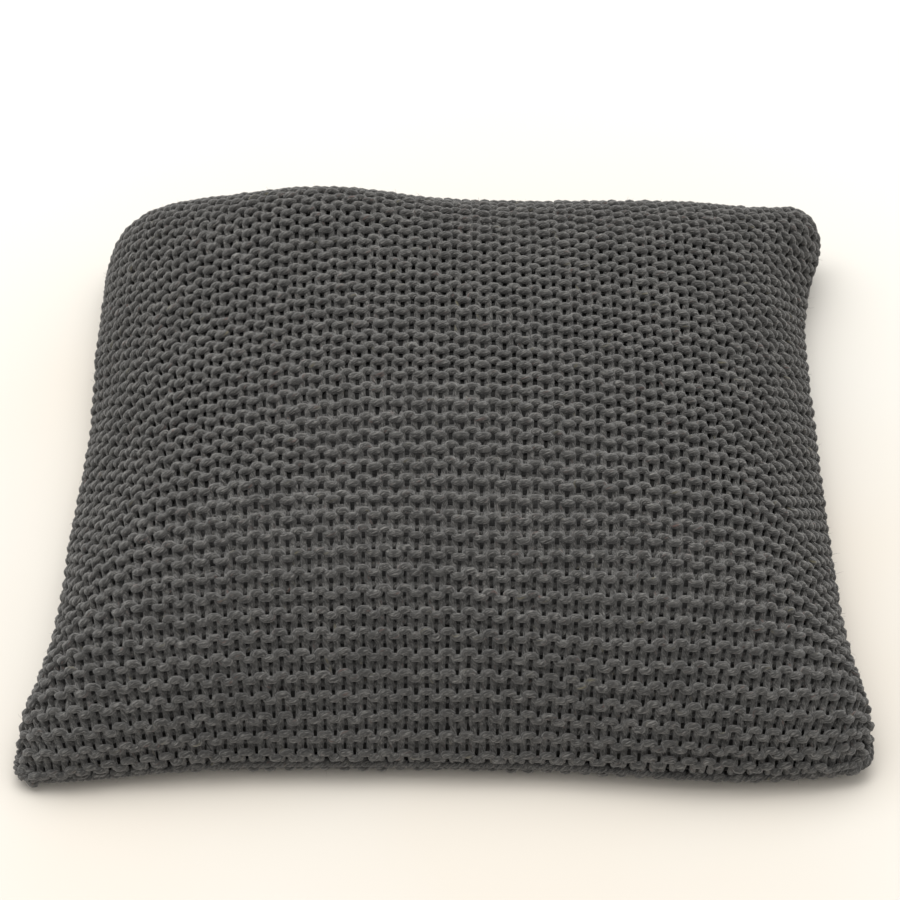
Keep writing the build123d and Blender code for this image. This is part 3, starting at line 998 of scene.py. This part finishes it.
def strand(centre, guide, radius, sides, taper=2.0):
    """One strand with tapered ends: vertices, quads and UVs."""
    count = len(centre)
    ends = np.minimum(np.arange(count), np.arange(count)[::-1]) / taper
    rings, length = tube(centre, guide, radius * np.clip(ends, 0.12, 1), sides)
    around = np.arange(sides + 1) / sides
    u_low = np.broadcast_to(length[:-1, None], (count - 1, sides))
    u_high = np.broadcast_to(length[1:, None], (count - 1, sides))
    v_low = np.broadcast_to(around[:-1], (count - 1, sides))
    v_high = np.broadcast_to(around[1:], (count - 1, sides))
    uv = np.stack([u_low, v_low, u_low, v_high, u_high, v_high, u_high, v_low], -1)
    return rings.reshape(-1, 3), tube_faces(count, sides, 0), uv.reshape(-1, 2)


def join_strands(strands):
    """Several strands as one set of vertices, quads and UVs."""
    vertices, faces, uvs, start = [], [], [], 0
    for points, quads, uv in strands:
        vertices.append(points)
        faces.append(quads + start)
        uvs.append(uv)
        start += len(points)
    return np.concatenate(vertices), np.concatenate(faces), np.concatenate(uvs)


def plied_cord(name, path, radius, pitch, material, body, node, plies=2, sides=9):
    """Cord of twisted plies along a path, which stands for a node."""
    path, where = resample(path, pitch / 12)
    ahead = unit(np.gradient(path, axis=0))
    side = unit(np.cross(ahead, np.array([0, 0, 1.0])))
    up = np.cross(side, ahead)
    strands = []
    for ply in range(plies):
        angle = 2 * math.pi * (where / pitch + ply / plies)
        offset = side * np.cos(angle)[:, None] + up * np.sin(angle)[:, None]
        strands.append(strand(path + offset * radius * 0.85, offset, radius, sides))
    vertices, faces, uv = join_strands(strands)
    piece = mesh_from(name, vertices, faces, material)
    add_uv(piece, "yarn", uv)
    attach(piece, body)
    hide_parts(node)
    return piece


def shell(name, grid, thickness, outward, material, body, nodes):
    """Thin closed cloth that follows a grid, thickened towards its inside."""
    rows, columns = grid.shape[:2]
    right = np.gradient(grid, axis=1)
    away = np.gradient(grid, axis=0)
    normal = unit(np.cross(right, away)) * outward
    inside = grid - normal * thickness
    index = np.arange(rows * columns).reshape(rows, columns)
    quads = np.stack([index[:-1, :-1], index[:-1, 1:], index[1:, 1:], index[1:, :-1]], -1)
    outer = quads.reshape(-1, 4) if outward > 0 else quads.reshape(-1, 4)[:, ::-1]
    inner = outer[:, ::-1] + rows * columns
    ring = np.concatenate([index[0, :-1], index[:-1, -1], index[-1, :0:-1], index[:0:-1, 0]])
    following = np.roll(ring, -1)
    wall = np.stack([following, ring, ring + rows * columns, following + rows * columns], -1)
    wall = wall if outward > 0 else wall[:, ::-1]
    vertices = np.concatenate([grid.reshape(-1, 3), inside.reshape(-1, 3)])
    piece = mesh_from(name, vertices, np.concatenate([outer, inner, wall]), material)
    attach(piece, body)
    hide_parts(*nodes)
    return piece


def refine(grid, cells, margin=0.0):
    """The grid at another cell count, cut in by a margin from 0 to 1."""
    s = np.linspace(margin, 1 - margin, cells + 1)
    across, along = np.meshgrid(s, s)
    return sample_grid(grid, across.ravel(), along.ravel()).reshape(cells + 1, cells + 1, -1)


def inner_surface(grid, outward, depth, cells, margin):
    """Surface at a depth behind a panel's middle surface."""
    s = np.linspace(margin, 1 - margin, cells + 1)
    across, along = np.meshgrid(s, s)
    here, _, _, normal = frame_at(grid, across.ravel(), along.ravel(), outward)
    return (here - normal * depth).reshape(cells + 1, cells + 1, 3)


def fuzz(name, node, bands, outward, count, seed):
    """Short flyaway fibres that stand off the yarn."""
    rng = np.random.default_rng(seed)
    roots, facing = [], []
    for band in bands:
        mesh = band.data
        points = np.zeros(len(mesh.vertices) * 3, np.float32)
        mesh.vertices.foreach_get("co", points)
        normals = np.zeros(len(mesh.vertices) * 3, np.float32)
        mesh.vertices.foreach_get("normal", normals)
        pick = rng.integers(0, len(mesh.vertices), count // len(bands))
        roots.append(points.reshape(-1, 3)[pick])
        facing.append(normals.reshape(-1, 3)[pick])
    roots, facing = np.concatenate(roots), np.concatenate(facing)
    lean = unit(facing + 0.9 * unit(rng.standard_normal(facing.shape)))
    bend = unit(rng.standard_normal(facing.shape))
    bend[:, 2] -= 0.3 * outward
    reach = rng.uniform(1.6, 4.6, (len(roots), 1)) * MM
    side = unit(np.cross(lean, bend))
    other = np.cross(side, lean)
    rings = []
    for step, thin in ((-0.08, 1.0), (0.35, 0.9), (0.7, 0.7), (1.0, 0.25)):
        centre = roots + reach * (lean * step + bend * 0.45 * step * abs(step))
        for turn in (0, 2 * math.pi / 3, 4 * math.pi / 3):
            rings.append(centre + (side * math.cos(turn) + other * math.sin(turn)) * thin * FIBRE)
    vertices = np.stack(rings, 1).reshape(-1, 3)
    ok = vertices[:, 2] > 0.0002
    vertices[~ok, 2] = 0.0002
    ring = np.arange(3)
    quads = []
    for level in range(3):
        a = level * 3 + ring
        b = level * 3 + (ring + 1) % 3
        quads.append(np.stack([a, b, b + 3, a + 3], -1))
    pattern = np.concatenate(quads)
    faces = (np.arange(len(roots))[:, None, None] * 12 + pattern[None]).reshape(-1, 4)
    piece = mesh_from(name, vertices, faces, loose_fibre_material())
    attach(piece, CUSHION)
    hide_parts(node)
    return piece


def loose_fibre_material():
    """Single fibres, each lighter or darker than the next."""
    known = bpy.data.materials.get("loose_fibre")
    if known:
        return known
    material, shader = new_material("loose_fibre", 0.8)
    tree = material.node_tree
    place = tree.nodes.new("ShaderNodeTexCoord")
    tone = noise_node(tree, place.outputs["Object"], 900, 2)
    colour = mix_node(tree, range_node(tree, tone, 0.35, 0.65), (0.035, 0.034, 0.033), (0.16, 0.155, 0.148))
    tree.links.new(colour, shader.inputs["Base Color"])
    return material


def coil(name, low, high, node):
    """Continuous nylon coil of one zip half: a helix along its tape's edge."""
    pitch = 1.3 * MM
    wire = 0.36 * MM
    turns = (high.x - low.x) / pitch
    count = int(turns * 12)
    t = np.linspace(0, 1, count)
    angle = 2 * math.pi * turns * t
    half_y = (high.y - low.y) / 2 - wire
    half_z = (high.z - low.z) / 2 - wire
    centre = np.stack(
        [
            low.x + wire + (high.x - low.x - 2 * wire) * t,
            (low.y + high.y) / 2 + half_y * np.cos(angle),
            (low.z + high.z) / 2 + half_z * np.sin(angle),
        ],
        -1,
    )
    guide = np.stack([0 * t, np.cos(angle), np.sin(angle)], -1)
    vertices, faces, uv = strand(centre, guide, wire, 6)
    colours = ((0.012, 0.012, 0.013), (0.03, 0.03, 0.031))
    piece = mesh_from(name, vertices, faces, hard_material("moulded_coil", *colours, 0.0, 700))
    add_uv(piece, "yarn", uv)
    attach(piece, CUSHION)
    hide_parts(node)
    return piece


# ------------------------------------------------------------ operators
class CUSHION_OT_front_panel(bpy.types.Operator):
    """Knit the upper panel stitch by stitch, with its loose fibres"""

    bl_idname = "cushion.front_panel"
    bl_label = "Knit Front Panel"

    def execute(self, context):
        bands = knit_panel("front_knit", "front_knit_panel", cover_surfaces()["upper"], 1.0)
        fuzz("front_knit_fuzz", "front_knit_panel", bands, 1.0, 10800, 11)
        return {"FINISHED"}


class CUSHION_OT_back_panel(bpy.types.Operator):
    """Knit the lower panel stitch by stitch, with its loose fibres"""

    bl_idname = "cushion.back_panel"
    bl_label = "Knit Back Panel"

    def execute(self, context):
        bands = knit_panel("back_knit", "back_knit_panel", cover_surfaces()["lower"], -1.0)
        fuzz("back_knit_fuzz", "back_knit_panel", bands, -1.0, 4000, 12)
        return {"FINISHED"}


class CUSHION_OT_seam(bpy.types.Operator):
    """Join the two panels with a plied seam yarn"""

    bl_idname = "cushion.seam"
    bl_label = "Sew Edge Seam"

    def execute(self, context):
        surfaces = cover_surfaces()
        knit = settings("cushion_knit")
        path = rim_path(surfaces["upper"], surfaces["lower"], 0.7 * (1 - ZIP_HALF / CORNER_X) / 2)
        path = soften(resample(path, 2 * MM)[0], 3)
        away = unit(path * np.array([1, 1, 0.0]))
        path = path + away * 0.3 * MM
        plied_cord(
            "edge_seam", path, 0.5 * knit.yarn_radius, 8 * MM, yarn_material("charcoal_seam_yarn"),
            CUSHION, "edge_seam_yarn",
        )
        return {"FINISHED"}


class CUSHION_OT_lining(bpy.types.Operator):
    """Lay the dark woven lining behind both knit panels; its dark colour also paints the shade in the gaps
    between stitches
    """

    bl_idname = "cushion.lining"
    bl_label = "Lay Lining"

    def execute(self, context):
        surfaces = cover_surfaces()
        knit = settings("cushion_knit")
        # painted shade: the lining's dark colours stand in for the shade that falls in the gaps between
        # stitches
        cloth = woven_material(
            "lining_weave_gap_shade", (0.1, 0.097, 0.095), (0.03, 0.03, 0.03), 700, 0.85, 0.15 * MM
        )
        depth = knit.loop_depth + 0.75 * knit.yarn_radius
        for name, node, outward in (
            ("front_lining", "lining_front", 1.0),
            ("back_lining", "lining_back", -1.0),
        ):
            grid = surfaces["upper" if outward > 0 else "lower"]
            inner = inner_surface(grid, outward, depth, 72, 0.006)
            away = np.stack([np.abs(inner[..., 0]) - CORNER_X, np.abs(inner[..., 1]) - CORNER_Y], -1)
            near = np.exp(-((np.linalg.norm(away, axis=-1) / 0.035) ** 2))
            inner[..., 0] -= np.sign(inner[..., 0]) * 11 * MM * near
            inner[..., 1] -= np.sign(inner[..., 1]) * 11 * MM * near
            shell(name, inner, 0.4 * MM, outward, cloth, CUSHION, [node])
        return {"FINISHED"}


class CUSHION_OT_insert(bpy.types.Operator):
    """Fill the cover with a puckered insert and its two seams"""

    bl_idname = "cushion.insert"
    bl_label = "Fill Insert"

    def execute(self, context):
        surfaces = cover_surfaces()
        cloth = woven_material(
            "white_insert_weave", (0.78, 0.77, 0.73), (0.55, 0.54, 0.5), 800, 0.8, 0.12 * MM
        )
        rng = np.random.default_rng(21)
        grids = []
        for name in ("insert_upper", "insert_lower"):
            grid = refine(surfaces[name], 96)
            s = np.abs(np.linspace(-1, 1, 97))
            edge = np.maximum(*np.meshgrid(s, s))
            pucker = smooth_noise(rng, 97, 97, 3.0) * 0.7 * MM * (1 - edge**8)
            grid[..., 2] += pucker * np.clip(edge - 0.3, 0, 1)
            grids.append(grid)
        build_insert(grids[0], grids[1], cloth)
        return {"FINISHED"}


def build_insert(upper, lower, cloth):
    """Closed pad of both halves, its filling and its seams."""
    size = upper.shape[0]
    index = np.arange(size * size).reshape(size, size)
    quads = np.stack([index[:-1, :-1], index[:-1, 1:], index[1:, 1:], index[1:, :-1]], -1)
    top = quads.reshape(-1, 4)
    rim = np.zeros((size, size), bool)
    rim[[0, -1], :] = True
    rim[:, [0, -1]] = True
    for name, grid, node, outward in (
        ("insert_top", upper, "insert_casing_upper", 1.0),
        ("insert_base", lower, "insert_casing_lower", -1.0),
    ):
        shell(name, grid, 0.5 * MM, outward, cloth, CUSHION, [node])
    shrink = np.array([0.975, 0.975, 1.0])
    inner_top = upper * shrink
    inner_low = lower * shrink
    inner_top[..., 2] = SEAM_Z + (upper[..., 2] - SEAM_Z) * 0.965
    inner_low[..., 2] = SEAM_Z + (lower[..., 2] - SEAM_Z) * 0.7
    flip = top[:, ::-1] + size * size
    ring = np.concatenate([index[0, :-1], index[:-1, -1], index[-1, :0:-1], index[:0:-1, 0]])
    following = np.roll(ring, -1)
    wall = np.stack([following, ring, ring + size * size, following + size * size], -1)
    filling = mesh_from(
        "insert_fill",
        np.concatenate([inner_top.reshape(-1, 3), inner_low.reshape(-1, 3)]),
        np.concatenate([top, flip, wall]),
        fibre_material("polyester_fibre", (0.85, 0.85, 0.83), (0.5, 0.5, 0.48), 220),
    )
    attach(filling, CUSHION)
    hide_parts("insert_filling")
    build_insert_seams(upper)


def build_insert_seams(upper):
    """Thread round three sides of the insert and the closing seam on its rear side."""
    size = upper.shape[0]
    thread = woven_material(
        "white_thread", (0.82, 0.81, 0.77), (0.6, 0.59, 0.55), 1500, 0.6, 0.05 * MM
    )
    last = size - 1
    around = np.concatenate(
        [
            upper[::-1, last],
            upper[0, last - 1 :: -1],
            upper[1:, 0],
        ]
    )
    closing = upper[last, 2:-2]
    for name, path, node in (
        ("insert_rim_thread", around, "insert_edge_seam"),
        ("insert_closing_thread", closing, "insert_closing_seam"),
    ):
        away = unit(path * np.array([1, 1, 0.0]))
        plied_cord(
            name, path + away * 0.3 * MM, 0.35 * MM, 3 * MM, thread, CUSHION, node,
            sides=6,
        )


class CUSHION_OT_zip(bpy.types.Operator):
    """Wind the zip's two coils"""

    bl_idname = "cushion.zip"
    bl_label = "Build Zip Coils"

    def execute(self, context):
        coil("upper_coil", COIL_LOW, COIL_HIGH, "zip_coil_upper")
        coil("lower_coil", LOWER_COIL_LOW, LOWER_COIL_HIGH, "zip_coil_lower")
        return {"FINISHED"}


class CUSHION_OT_finishes(bpy.types.Operator):
    """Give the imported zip, stitches and label their finishes"""

    bl_idname = "cushion.finishes"
    bl_label = "Apply Finishes"

    def execute(self, context):
        tape = woven_material(
            "tape_weave", (0.032, 0.031, 0.031), (0.008, 0.008, 0.008), 1100, 0.8, 0.1 * MM
        )
        metal = hard_material("lacquered_metal", (0.02, 0.02, 0.021), (0.16, 0.155, 0.15), 0.85, 500)
        thread = woven_material(
            "dark_sewing_thread", (0.045, 0.044, 0.043), (0.012, 0.012, 0.012), 2200, 0.55, 0.05 * MM
        )
        satin = woven_material(
            "ivory_satin", (0.8, 0.79, 0.76), (0.62, 0.61, 0.58), 2400, 0.35, 0.03 * MM
        )
        finishes = {
            "zip_tape_upper": tape,
            "zip_tape_lower": tape,
            "zip_slider": metal,
            "zip_pull_tab": metal,
            "zip_top_stops": metal,
            "zip_bottom_stop": metal,
            "zip_stitches_upper": thread,
            "zip_stitches_lower": thread,
            "care_label": satin,
        }
        for node, finish in finishes.items():
            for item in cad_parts[node].material_slots:
                item.material = finish
        return {"FINISHED"}


class CUSHION_OT_stage(bpy.types.Operator):
    """Set up the floor, the soft light and the camera"""

    bl_idname = "cushion.stage"
    bl_label = "Set Stage"

    def execute(self, context):
        stage = settings("cushion_stage")
        build_floor(stage)
        build_lights()
        build_camera(stage)
        return {"FINISHED"}


def build_floor(stage):
    """Wide pale floor, a little warmer round the cushion: painted warm light falloff."""
    material, shader = new_material("studio_floor", 0.9)
    tree = material.node_tree
    nodes, wire = tree.nodes, tree.links.new
    place = nodes.new("ShaderNodeTexCoord")
    moved = nodes.new("ShaderNodeMapping")
    moved.inputs["Location"].default_value = (0, 0.17, 0)
    moved.inputs["Scale"].default_value = (1.9, 1.7, 1.7)
    wire(place.outputs["Object"], moved.inputs["Vector"])
    # painted light: a spherical falloff round the cushion tints the floor warmer and a little dimmer
    painted_light_falloff = nodes.new("ShaderNodeTexGradient")
    painted_light_falloff.gradient_type = "SPHERICAL"
    wire(moved.outputs[0], painted_light_falloff.inputs["Vector"])
    mottle = noise_node(tree, place.outputs["Object"], 3, 2)
    near = math_node(tree, "MULTIPLY", range_node(tree, painted_light_falloff.outputs["Fac"], 0.0, 0.55), mottle)
    # painted warm light tint, mixed into the floor colour near the cushion
    painted_warm_tint = [c * t for c, t in zip(stage.floor_colour, (0.99, 0.93, 0.87))]
    colour = mix_node(tree, math_node(tree, "MULTIPLY", near, 1.9), list(stage.floor_colour), painted_warm_tint)
    wire(colour, shader.inputs["Base Color"])
    shader.inputs["Specular IOR Level"].default_value = 0.1
    half = 6.0
    corners = [(-half, -half, 0), (half, -half, 0), (half, half, 0), (-half, half, 0)]
    floor = mesh_from("floor", np.array(corners), np.array([[0, 1, 2, 3]]), material, smooth=False)


def area_light(name, place, aim, size, power, colour):
    """Soft rectangular lamp that points at a place."""
    lamp = bpy.data.lights.new(name, "AREA")
    lamp.shape = "RECTANGLE"
    lamp.size, lamp.size_y = size
    lamp.energy = power
    lamp.color = colour
    holder = link(bpy.data.objects.new(name, lamp))
    holder.location = place
    holder.rotation_euler = (Vector(aim) - Vector(place)).to_track_quat("-Z", "Y").to_euler()


def build_lights():
    """Large overhead softbox from the rear and an even sky."""
    scene = bpy.context.scene
    scene.view_settings.view_transform = "Standard"
    area_light("overhead", (-0.2, 0.44, 2.1), (0, 0, 0.05), (3.0, 2.2), 56, (1.0, 0.99, 0.97))
    world = bpy.data.worlds.new("studio")
    world.use_nodes = True
    sky = world.node_tree.nodes["Background"]
    sky.inputs["Color"].default_value = (1.0, 0.99, 0.965, 1)
    sky.inputs["Strength"].default_value = 0.86
    scene.world = world


def build_camera(stage):
    """Camera in front of and above the cushion."""
    data = bpy.data.cameras.new("camera")
    data.sensor_width = 36
    data.lens = stage.lens
    camera = link(bpy.data.objects.new("camera", data))
    level = math.cos(stage.elevation)
    away = Vector(
        (
            math.sin(stage.azimuth) * level,
            -math.cos(stage.azimuth) * level,
            math.sin(stage.elevation),
        )
    )
    aim = Vector(stage.aim)
    camera.location = aim + away * stage.distance
    camera.rotation_euler = (-away).to_track_quat("-Z", "Y").to_euler()
    bpy.context.scene.camera = camera


class CUSHION_PT_builder(bpy.types.Panel):
    """Lists the cushion's settings and the steps that build it"""

    bl_idname = "CUSHION_PT_builder"
    bl_label = "Garter Knit Cushion"
    bl_space_type = "VIEW_3D"
    bl_region_type = "UI"
    bl_category = "Cushion"

    def draw(self, context):
        for name in ("cushion_form", "cushion_knit", "cushion_stage"):
            group = settings(name)
            box = self.layout.box()
            for label in type(group).__annotations__:
                box.prop(group, label)
        for operator in OPERATORS:
            self.layout.operator(operator.bl_idname)


OPERATORS = (
    CUSHION_OT_front_panel,
    CUSHION_OT_back_panel,
    CUSHION_OT_seam,
    CUSHION_OT_lining,
    CUSHION_OT_insert,
    CUSHION_OT_zip,
    CUSHION_OT_finishes,
    CUSHION_OT_stage,
)
GROUPS = {
    "cushion_form": CushionSettings,
    "cushion_knit": KnitSettings,
    "cushion_stage": StageSettings,
}


def register():
    """Register the settings, the operators and the panel."""
    for name, group in GROUPS.items():
        bpy.utils.register_class(group)
        setattr(bpy.types.Scene, name, bpy.props.PointerProperty(type=group))
    for item in (*OPERATORS, CUSHION_PT_builder):
        bpy.utils.register_class(item)


def unregister():
    """Undo register."""
    for item in reversed((*OPERATORS, CUSHION_PT_builder)):
        bpy.utils.unregister_class(item)
    for name, group in reversed(GROUPS.items()):
        delattr(bpy.types.Scene, name)
        bpy.utils.unregister_class(group)


def main():
    """Build every piece in order."""
    register()
    for operator in OPERATORS:
        group, action = operator.bl_idname.split(".")
        getattr(getattr(bpy.ops, group), action)()


if __name__ == "__main__":
    main()
